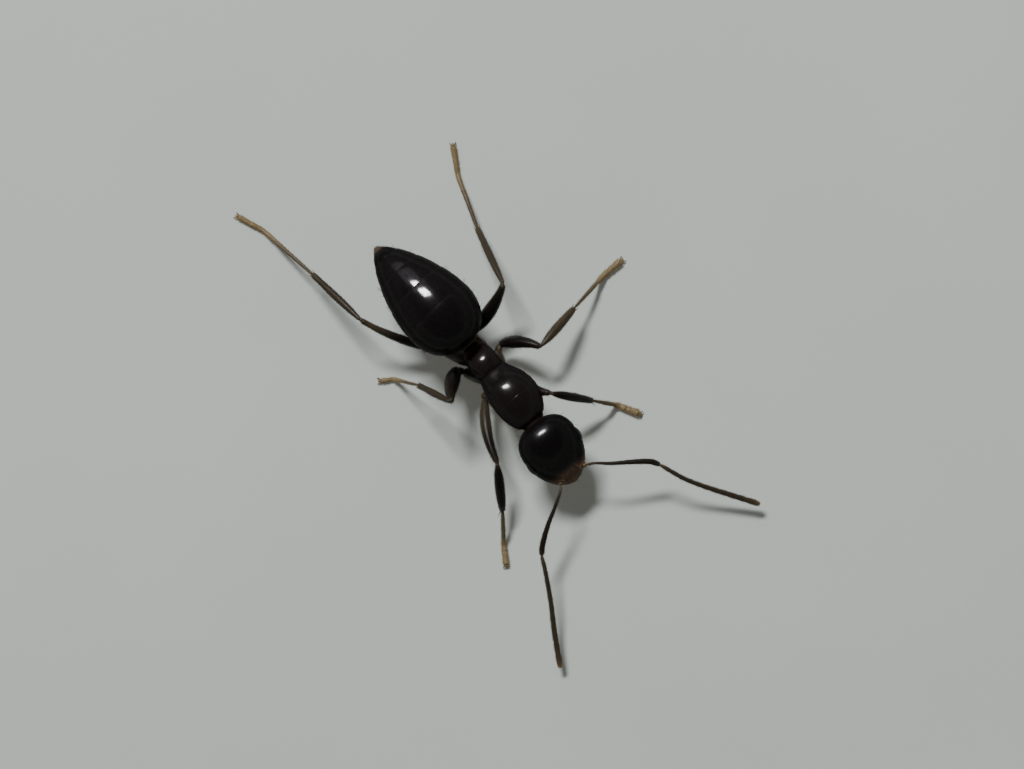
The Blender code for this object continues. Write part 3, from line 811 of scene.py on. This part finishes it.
def mesosoma():
    """Pronotum, mesonotum and propodeum, and the neck in front of them."""
    plates = [
        ("pronotum", MESOSOMA[0][0], pronotum_edge, 70, front_relief, "promesonotum"),
        ("mesonotum", lambda turn: pronotum_edge(turn) - SEAM, GROOVE_Y, 90, middle_relief,
         "promesonotum"),
        ("propodeum_plate", GROOVE_Y + SEAM, MESOSOMA[-1][0], 100, rear_relief, "propodeum"),
    ]
    made = []
    for name, start, end, rows, relief, node in plates:
        sheet, y, turn = drum(start, end, rows, 180, mesosoma_at, relief, lip=0.0, drop=0.0015)
        low = ease(0.1, -0.7, side_turn(turn))
        # the propodeum's rear and the collar at the front are paler brown: partly their own colour,
        # partly painted light in the gaster's shadow and in the gap under the head
        sheet.tone = (0.11 + 0.03 * ease(-0.5, -1.2, y) + 0.02 * sheet.edge + 0.15 * low
                      + 0.25 * ease(-1.62, -1.8, y) + 0.03 * ease(-0.1, 0.1, y)
                      + 0.38 * ease(0.52, 0.72, y))
        solid(name, [sheet], "black_shell", node)
        made.append(sheet)
    # the neck's paler brown is partly its own colour, partly painted light in the gap between head
    # and pronotum
    neck = tube(NECK, [(0, 0.15), (0.5, 0.13), (1, 0.17)], [(0, 0.32), (1, 0.32)], 28, 20)
    solid("neck", [neck], "black_shell")
    return made


def petiole():
    """A low scale leaning forward, on its narrow stalk."""
    y, turn = grid(np.linspace(PETIOLE[0][0], PETIOLE[-1][0], 90), 90)
    across, z, _ = body_section(PETIOLE, y, turn, square=2.3, widest=0.45)
    crest = ease(1.4, 1.8, z) * 0.06
    # the scale's reddish brown is made paler as painted light in the gaster's shadow
    sheet = Sheet(np.stack((mid_x(y) + across, y - crest, z), -1), 0.55)
    solid("petiole_scale", [sheet], "black_shell", "petiole")
    return sheet


# == gaster ==


def gaster_at(t, turn):
    """Points round the gaster, an egg with its front cut away over the petiole."""
    along = GASTER_TIP - GASTER_FRONT
    length = np.linalg.norm(along)
    along = along / length
    across = unit(np.cross(along, UP))
    up = np.cross(across, along)
    full = egg(t, GASTER_WIDEST, (2.1, 0.48), (1.7, 0.75))
    point = (GASTER_FRONT + along * (length * t)[..., None]
             + across * (np.cos(turn) * GASTER_WIDE * full)[..., None]
             + up * (np.sin(turn) * GASTER_HIGH * full)[..., None])
    slope = NOTCH_SLOPE / np.linalg.norm(NOTCH_SLOPE)
    over = NOTCH_SOFT * np.logaddexp(0, (point - NOTCH_POINT) @ slope / NOTCH_SOFT)
    return point - slope * over[..., None]


def segment_relief(start, end):
    """A segment's step from upper to lower plate, and its swell between seams."""
    def relief(t, turn):
        high = side_turn(turn)
        step = -0.02 * ease(-0.36, -0.46, high) - 0.01 * bump_at(high + 0.4, 0.03)
        swell = 0.016 * np.sin(np.pi * np.clip((t - start) / (end - start), 0, 1))
        return step * ease(0.06, 0.2, t) * ease(0.99, 0.9, t) + swell * (start > 0)
    return relief


def gaster():
    """Five overlapping segments, each an upper and a lower plate, and the nozzle behind."""
    made = []
    for number, (start, end, rows, drop, edge) in enumerate(SEGMENTS, 1):
        last = number == len(SEGMENTS)
        sheet, t, turn = drum(start - TUCK * (start > 0), end, rows, 220, gaster_at,
                              segment_relief(start, end), LIP * (not last), drop, edge)
        # the darker band at t 0.9, just before the tip, is a painted dark reflection
        sheet.tone = (0.08 + 0.05 * sheet.edge * (not last)
                      + 0.1 * ease(-0.35, -0.6, side_turn(turn))
                      + 0.2 * ease(0.935, 0.965, t) - 0.06 * bump_at(t - 0.9, 0.03))
        solid(f"gaster_plates_{number}", [sheet], "gaster_shell", f"gaster_segment_{number}")
        made.append(sheet)
    way = unit(GASTER_TIP - GASTER_FRONT)
    start = GASTER_TIP - way * 0.2
    nozzle = tube([start, start + way * 0.1, GASTER_TIP + way * 0.01], ACIDOPORE,
                  [(0, 0.36), (0.4, 0.4), (1, 0.46)], 32, 28, wide=1.08, cap=0.5)
    solid("acidopore", [nozzle], "leg_brown")
    return made, nozzle


# == limbs ==


def leg_base(at):
    """Coxa and trochanter."""
    middle = at.coxa * 0.5 + at.hip * 0.5 + np.array((0, 0, -0.03))
    coxa = tube([at.coxa, middle, at.hip], COXA, COXA_TONES, 32, 36)
    out = unit(at.thigh - at.hip)
    path = [at.hip - out * 0.04, (at.hip + at.thigh) / 2, at.thigh + out * 0.01]
    return [coxa, tube(path, TROCHANTER, [(0, 0.45), (1, 0.35)], 24, 18)]


def leg_femur(at):
    """The bowed femur and the ball at the knee."""
    shape = [(0, 0.07), (0.12, 0.125 * at.stout), (0.36, 0.172 * at.stout),
             (0.62, 0.155 * at.stout), (0.88, 0.098 * min(1, at.stout / 0.86)), (1, 0.074)]
    # pale lightens the femur of one leg only: a painted highlight, not the femur's own colour
    tones = [(0, 0.38), (0.1, 0.18 + at.pale / 2), (0.22, 0.03 + at.pale),
             (0.5, 0.03 + at.pale * 0.7), (0.72, 0.05 + at.knee_brown),
             (0.9, 0.14 + at.knee_brown), (1, 0.28)]
    path = bent(at.thigh - unit(at.knee - at.thigh) * 0.03, at.knee, at.bow)
    femur = tube(path, shape, tones, 36, 60, wide=0.92)
    path = bent(at.knee - unit(at.knee - at.hip) * 0.07, at.knee + unit(at.ankle - at.knee) * 0.07)
    return [femur, tube(path, [(0, 0.058), (1, 0.058)], [(0, 0.3), (1, 0.38)], 20, 14)]


def leg_tibia(at):
    """The tibia, with one long spur on a front leg and two short ones on the others."""
    way = unit(at.ankle - at.knee)
    shape = [(0, 0.052), (0.06, 0.058), (0.22, at.shin * 0.86), (0.5, at.shin),
             (0.8, at.shin * 0.84), (0.95, 0.076), (1, 0.066)]
    # between its ends the tibia takes the leg's tone: partly its own brown, partly painted sheen,
    # lighter on the middle and hind legs than on the black front ones
    tones = [(0, 0.34), (0.1, at.shade), (0.8, at.shade), (0.95, 0.36), (1, 0.42)]
    sheets = [tube(bent(at.knee + way * 0.03, at.ankle, (0, 0, 0.03)), shape, tones, 32, 56)]
    sides, size = ((1,), 0.2) if at.name.startswith("front") else ((1, -1), 0.12)
    for side in sides:
        across = unit(np.cross(way, UP)) * side
        start = at.ankle - way * 0.02 + across * 0.045 - np.array((0, 0, 0.03))
        end = start + unit(unit(at.heel - at.ankle) + across * 0.45) * size
        sheets.append(tube(bent(start, end, across * 0.006), SPUR, [(0, 0.6), (1, 0.8)], 10, 14))
    return sheets


def claw(start, way, side, size=0.115):
    """A hooked claw: out, forward and down."""
    path = [start, start + (way * 0.45 + side * 0.32 + UP * 0.1) * size,
            start + (way * 0.85 + side * 0.46 - UP * 0.22) * size,
            start + (way * 1.0 + side * 0.48 - UP * 0.62) * size]
    return tube(path, CLAW, [(0, 0.7), (1, 0.35)], 10, 12)


def leg_foot(at):
    """Five tarsal segments with a pad, lying on the floor at the end, and two claws."""
    low = np.array((0, 0, at.foot * 0.98))
    flat = unit(at.toe - at.heel)
    tip = at.toe + low - flat * 0.1
    arch = [at.ankle, at.ankle * 0.5 + (at.heel + low) * 0.5 + np.array((0, 0, 0.04)),
            at.heel + low + np.array((0, 0, 0.012)), at.heel * 0.6 + at.toe * 0.4 + low, tip]
    girth = [(0, at.shank * 0.9), (0.45, at.shank), (0.6, at.foot * 0.72),
             (0.75, at.foot * 0.9), (1, at.foot)]
    segments = beads(arch, TARSUS_SHARES, girth, TARSUS_TONES, 24, 26, waist=0.86, cap=0.35)
    path = [tip, tip + flat * 0.05, tip + flat * 0.085 - UP * 0.025]
    pad = tube(path, [(0, 0.034), (1, 0.026)], [(0, 0.6), (1, 0.7)], 16, 12, wide=1.5)
    side = unit(np.cross(flat, UP))
    claws = [claw(tip + side * s * 0.022, flat, side * s) for s in (1, -1)]
    return [*segments, pad], claws


def leg(name, joints):
    """One leg's pieces. Returns the sheets of each, for the hairs."""
    at = SimpleNamespace(name=name, pale=0.0, knee_brown=0.0)
    for key, value in joints.items():
        setattr(at, key, np.array(value) if isinstance(value, tuple) else value)
    if "thigh" not in joints:
        at.thigh = at.hip + unit(at.knee - at.hip) * 0.15
    tarsus, claws = leg_foot(at)
    parts = dict(coxa=leg_base(at), femur=leg_femur(at), tibia=leg_tibia(at), tarsus=tarsus)
    for part, sheets in parts.items():
        slot = "foot_tan" if part == "tarsus" else "leg_brown"
        solid(f"{name}_{part}_shell", sheets, slot, f"{name}_{part}")
    solid(f"{name}_claws", claws, "foot_tan")
    return parts


def feeler(name, side):
    """Socket ball, long scape, pedicel and ten more segments. Returns those with hairs."""
    upper, lower = FEELERS[name]["scape"], FEELERS[name]["funiculus"]
    socket = from_head(SOCKET_AT * (side, 1, 1))
    start = np.array(upper[0]) * 0.35 + socket * 0.65
    ball = tube([socket - (start - socket) * 0.2, socket, start],
                [(0, 0.05), (0.5, 0.062), (1, 0.036)], [(0, 0.44), (1, 0.5)], 20, 14)
    scape = tube([start, *upper], SCAPE, SCAPE_TONES, 28, 64)
    segments = beads([upper[-1], *lower], FUNICULUS_SHARES, FUNICULUS, FUNICULUS_TONES, 24, 24,
                     waist=0.88, cap=0.35)
    path = [segments[-1].points[0].mean(axis=0), lower[-1]]
    segments[-1] = tube(path, FEELER_TIP, [(0, 0.31), (0.6, 0.4), (1, 0.64)], 24, 30)
    for part, sheets in (("scape", [ball, scape]), ("funiculus", segments)):
        solid(f"{part}_{name}_shell", sheets, "feeler_brown", f"{part}_{name}")
    return scape, segments


# == hairs ==


def roots(sheet, density):
    """Roots of hairs on a sheet, density to a square millimetre."""
    p = sheet.points
    q = np.roll(p, -1, 1)
    area = np.linalg.norm(np.cross(q[:-1] - p[:-1], p[1:] - p[:-1]), axis=-1)
    area = area * ~sheet.bare[:-1]
    total = np.cumsum(area.ravel())
    count = max(1, int(total[-1] * density))
    spot = (np.arange(count) + RANDOM.random(count)) / count * total[-1]
    quad = np.searchsorted(total, spot).clip(0, area.size - 1)
    i, j = np.unravel_index(quad, area.shape)
    a, b = RANDOM.random(count), RANDOM.random(count)
    n = (j + 1) % p.shape[1]

    def mix(values):
        """Values at the roots, from those at the sheet's points."""
        near = values[i, j] * (1 - b)[:, None] + values[i, n] * b[:, None]
        far = values[i + 1, j] * (1 - b)[:, None] + values[i + 1, n] * b[:, None]
        return near * (1 - a)[:, None] + far * a[:, None]

    return dict(at=mix(p), normal=unit(mix(sheet.normal)), along=unit(mix(sheet.along)),
                tone=mix(sheet.tone[..., None])[:, 0],
                place=np.stack(((j + b) / p.shape[1], (i + a) / (p.shape[0] - 1)), -1))


def hair_faces(parts):
    """Faces of one closed three-sided hair of that many parts, coming to a point."""
    faces = []
    for k in range(0, 3 * (parts - 1), 3):
        for c in range(3):
            n = (c + 1) % 3
            faces += [(k + c, k + n, k + 3 + n), (k + c, k + 3 + n, k + 3 + c)]
    faces += [(3 * (parts - 1) + c, 3 * (parts - 1) + (c + 1) % 3, 3 * parts) for c in range(3)]
    return np.array(faces + [(2, 1, 0)])


def strands(found, strip, length, radius, lean, curl, spread=0.25, parts=3):
    """Tapering hairs at roots. strip: (start, width) of this sheet's part of the map. spread:
    how much the hairs turn aside."""
    count = len(found["at"])
    size = RANDOM.uniform(*length, count)[:, None]
    angle = np.radians(RANDOM.normal(lean, lean * 0.18 + 2, count))[:, None]
    side = np.cross(found["normal"], found["along"])
    way = unit(found["along"] + side * RANDOM.normal(0, spread, count)[:, None])
    thrust = unit(way * np.cos(angle) + found["normal"] * np.sin(angle))
    pull = unit(way - found["normal"] * 0.35) * curl
    e1 = unit(np.cross(thrust, found["normal"]) + 1e-4)
    e2 = np.cross(thrust, e1)
    root = found["at"] - found["normal"] * radius * 0.8
    points, local = [], []
    for k in range(parts):
        s = k / parts
        centre = root + size * (thrust * s + pull * s * s)
        thick = radius * (1 - s) ** 0.7
        for turn in (0, 2 * np.pi / 3, 4 * np.pi / 3):
            points.append(centre + thick * (e1 * math.cos(turn) + e2 * math.sin(turn)))
            local.append((math.cos(turn) * 0.5 * (1 - s), s - 0.5))
    points.append(root + size * (thrust + pull))
    local.append((0, 0.5))
    faces = hair_faces(parts) + np.arange(count)[:, None, None] * len(points)
    across, along = found["place"].T
    centre_uv = np.stack((strip[0] + MARGIN + across * (strip[1] - 2 * MARGIN),
                          MARGIN + along * (1 - 2 * MARGIN)), -1)
    uv = centre_uv[:, None] + np.array(local) * MAP_LENGTH
    return dict(points=np.stack(points, 1).reshape(-1, 3), faces=faces.reshape(-1, 3),
                uv=uv.reshape(-1, 2), tone=np.repeat(found["tone"], len(points)))


def coat(name, plan, surface, slot):
    """One mesh of hairs from a plan of (sheet, density, hair sizes) rows."""
    order = list(dict.fromkeys(id(sheet) for sheet, _, _ in plan))
    width = 1 / len(order)
    made, faces, start = [], [], 0
    for sheet, density, sizes in plan:
        strip = (order.index(id(sheet)) * width, width)
        made.append(strands(roots(sheet, density), strip, **sizes))
        faces.append(made[-1]["faces"] + start)
        start += len(made[-1]["points"])
    points, uvs, tones = (
        np.concatenate([part[key] for part in made]) for key in ("points", "uv", "tone"))
    faces = np.concatenate(faces)
    mesh_piece(name, points, [faces], slot, tones, surface, uvs[faces.ravel()])


def hairs(head, plates, scale, segments, nozzle, legs, feelers):
    """All coats: short down along the skin and longer bristles, so many to a square mm."""

    def both(sheets, down, bristles):
        return [row for s in sheets for row in ((s, down, DOWN), (s, bristles, BRISTLE))]

    coat("coat_head", both([head], 380, 6), "body_hair", "black_shell")
    coat("coat_mesosoma", both([*plates, scale], 380, 6), "body_hair", "black_shell")
    coat("coat_gaster", [(nozzle, 900, FRINGE), *both(segments, 420, 12)], "body_hair",
         "gaster_shell")
    for name, parts in legs.items():
        plan = [(parts["coxa"][0], 350, LEG_DOWN)]
        for limb in (parts["femur"][0], parts["tibia"][0]):
            plan += [(limb, 900, LEG_DOWN), (limb, 22, LEG_BRISTLE)]
        plan += [(segment, 1700, FOOT_DOWN) for segment in parts["tarsus"][:-1]]  # not the pad
        coat(f"coat_{name}", plan, "limb_hair", "leg_brown")
    for name, (scape, funiculus) in feelers.items():
        plan = [(scape, 900, LEG_DOWN), *((segment, 1700, FOOT_DOWN) for segment in funiculus)]
        coat(f"coat_feeler_{name}", plan, "limb_hair", "feeler_brown")


# == studio, view ==


def panel(name, azimuth, elevation, size, watts, colour):
    """A rectangular light aimed at the ant. Azimuth is measured from +Y towards +X."""
    data = bpy.data.lights.new(name, "AREA")
    data.shape, data.size, data.size_y = "RECTANGLE", *size
    data.energy, data.color = watts, colour
    lamp = placed(name, data)
    az, el = math.radians(azimuth), math.radians(elevation)
    far = LIGHT_DISTANCE
    at = (far * math.sin(az) * math.cos(el), far * math.cos(az) * math.cos(el), far * math.sin(el))
    lamp.location = at
    lamp.rotation_euler = (-Vector(at)).to_track_quat("-Z", "Y").to_euler()


def floor_dish():
    """A round floor, flat in the middle and then curving up out of sight."""
    bend, columns = np.linspace(0.1, np.pi / 2, 14), 96
    radii = np.concatenate(([0.02, 0.1, FLOOR_FLAT], FLOOR_FLAT + FLOOR_CURVE * np.sin(bend)))
    lifts = np.concatenate(([0, 0, 0], FLOOR_CURVE * (1 - np.cos(bend))))
    turn = angles(columns)
    points = [(r * math.cos(a), r * math.sin(a), h) for r, h in zip(radii, lifts) for a in turn]
    upward = np.roll(quad_faces(len(radii), columns)[:, ::-1], 1, axis=1)
    faces = [tuple(range(columns)), *upward.tolist()]
    mesh = bpy.data.meshes.new("floor")
    mesh.from_pydata(points, [], faces)
    mesh.polygons.foreach_set("use_smooth", [True] * len(faces))
    floor_material()
    mesh.materials.append(SURFACES["floor"])
    floor = placed("floor", mesh)


def studio():
    """A pale floor, one fairly hard window-like light from behind the ant, and soft fill."""
    floor_dish()
    for light in LIGHTS:
        panel(*light)
    world = bpy.data.worlds.new("studio")
    world.use_nodes = True
    tree = world.node_tree
    direction = add_node(tree, "ShaderNodeTexCoord").outputs["Generated"]
    height = add_node(tree, "ShaderNodeSeparateXYZ", Vector=direction).outputs["Z"]
    set_inputs(tree, tree.nodes["Background"], Color=ramp(tree, height, SKY))
    bpy.context.scene.world = world


def camera():
    """Straight down on the ant, its head to the lower right of the picture."""
    data = bpy.data.cameras.new("camera")
    data.sensor_width = 36
    data.lens = data.sensor_width * CAMERA_HEIGHT / VIEW_WIDTH
    data.clip_start, data.clip_end = 0.001, 5
    made = placed("camera", data)
    made.location = (VIEW_MIDDLE[0], VIEW_MIDDLE[1], CAMERA_HEIGHT)
    made.rotation_euler = (0, 0, math.radians(CAMERA_TURN))
    bpy.context.scene.camera = made


# == build ==

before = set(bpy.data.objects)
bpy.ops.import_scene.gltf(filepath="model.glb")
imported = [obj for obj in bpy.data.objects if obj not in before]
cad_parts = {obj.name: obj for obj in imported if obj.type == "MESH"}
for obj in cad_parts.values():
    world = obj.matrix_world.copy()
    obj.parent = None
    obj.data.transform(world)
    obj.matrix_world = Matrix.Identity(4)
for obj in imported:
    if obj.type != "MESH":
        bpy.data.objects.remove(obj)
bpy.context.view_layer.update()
camera()
make_materials()
head = head_capsule()
eyes()
mandibles()
mouthparts()
plates = mesosoma()
scale = petiole()
segments, nozzle = gaster()
legs = {name: leg(name, joints) for name, joints in LEGS.items()}
feelers = {name: feeler(name, side) for name, side in SIDES}
hairs(head, plates, scale, segments, nozzle, legs, feelers)
studio()
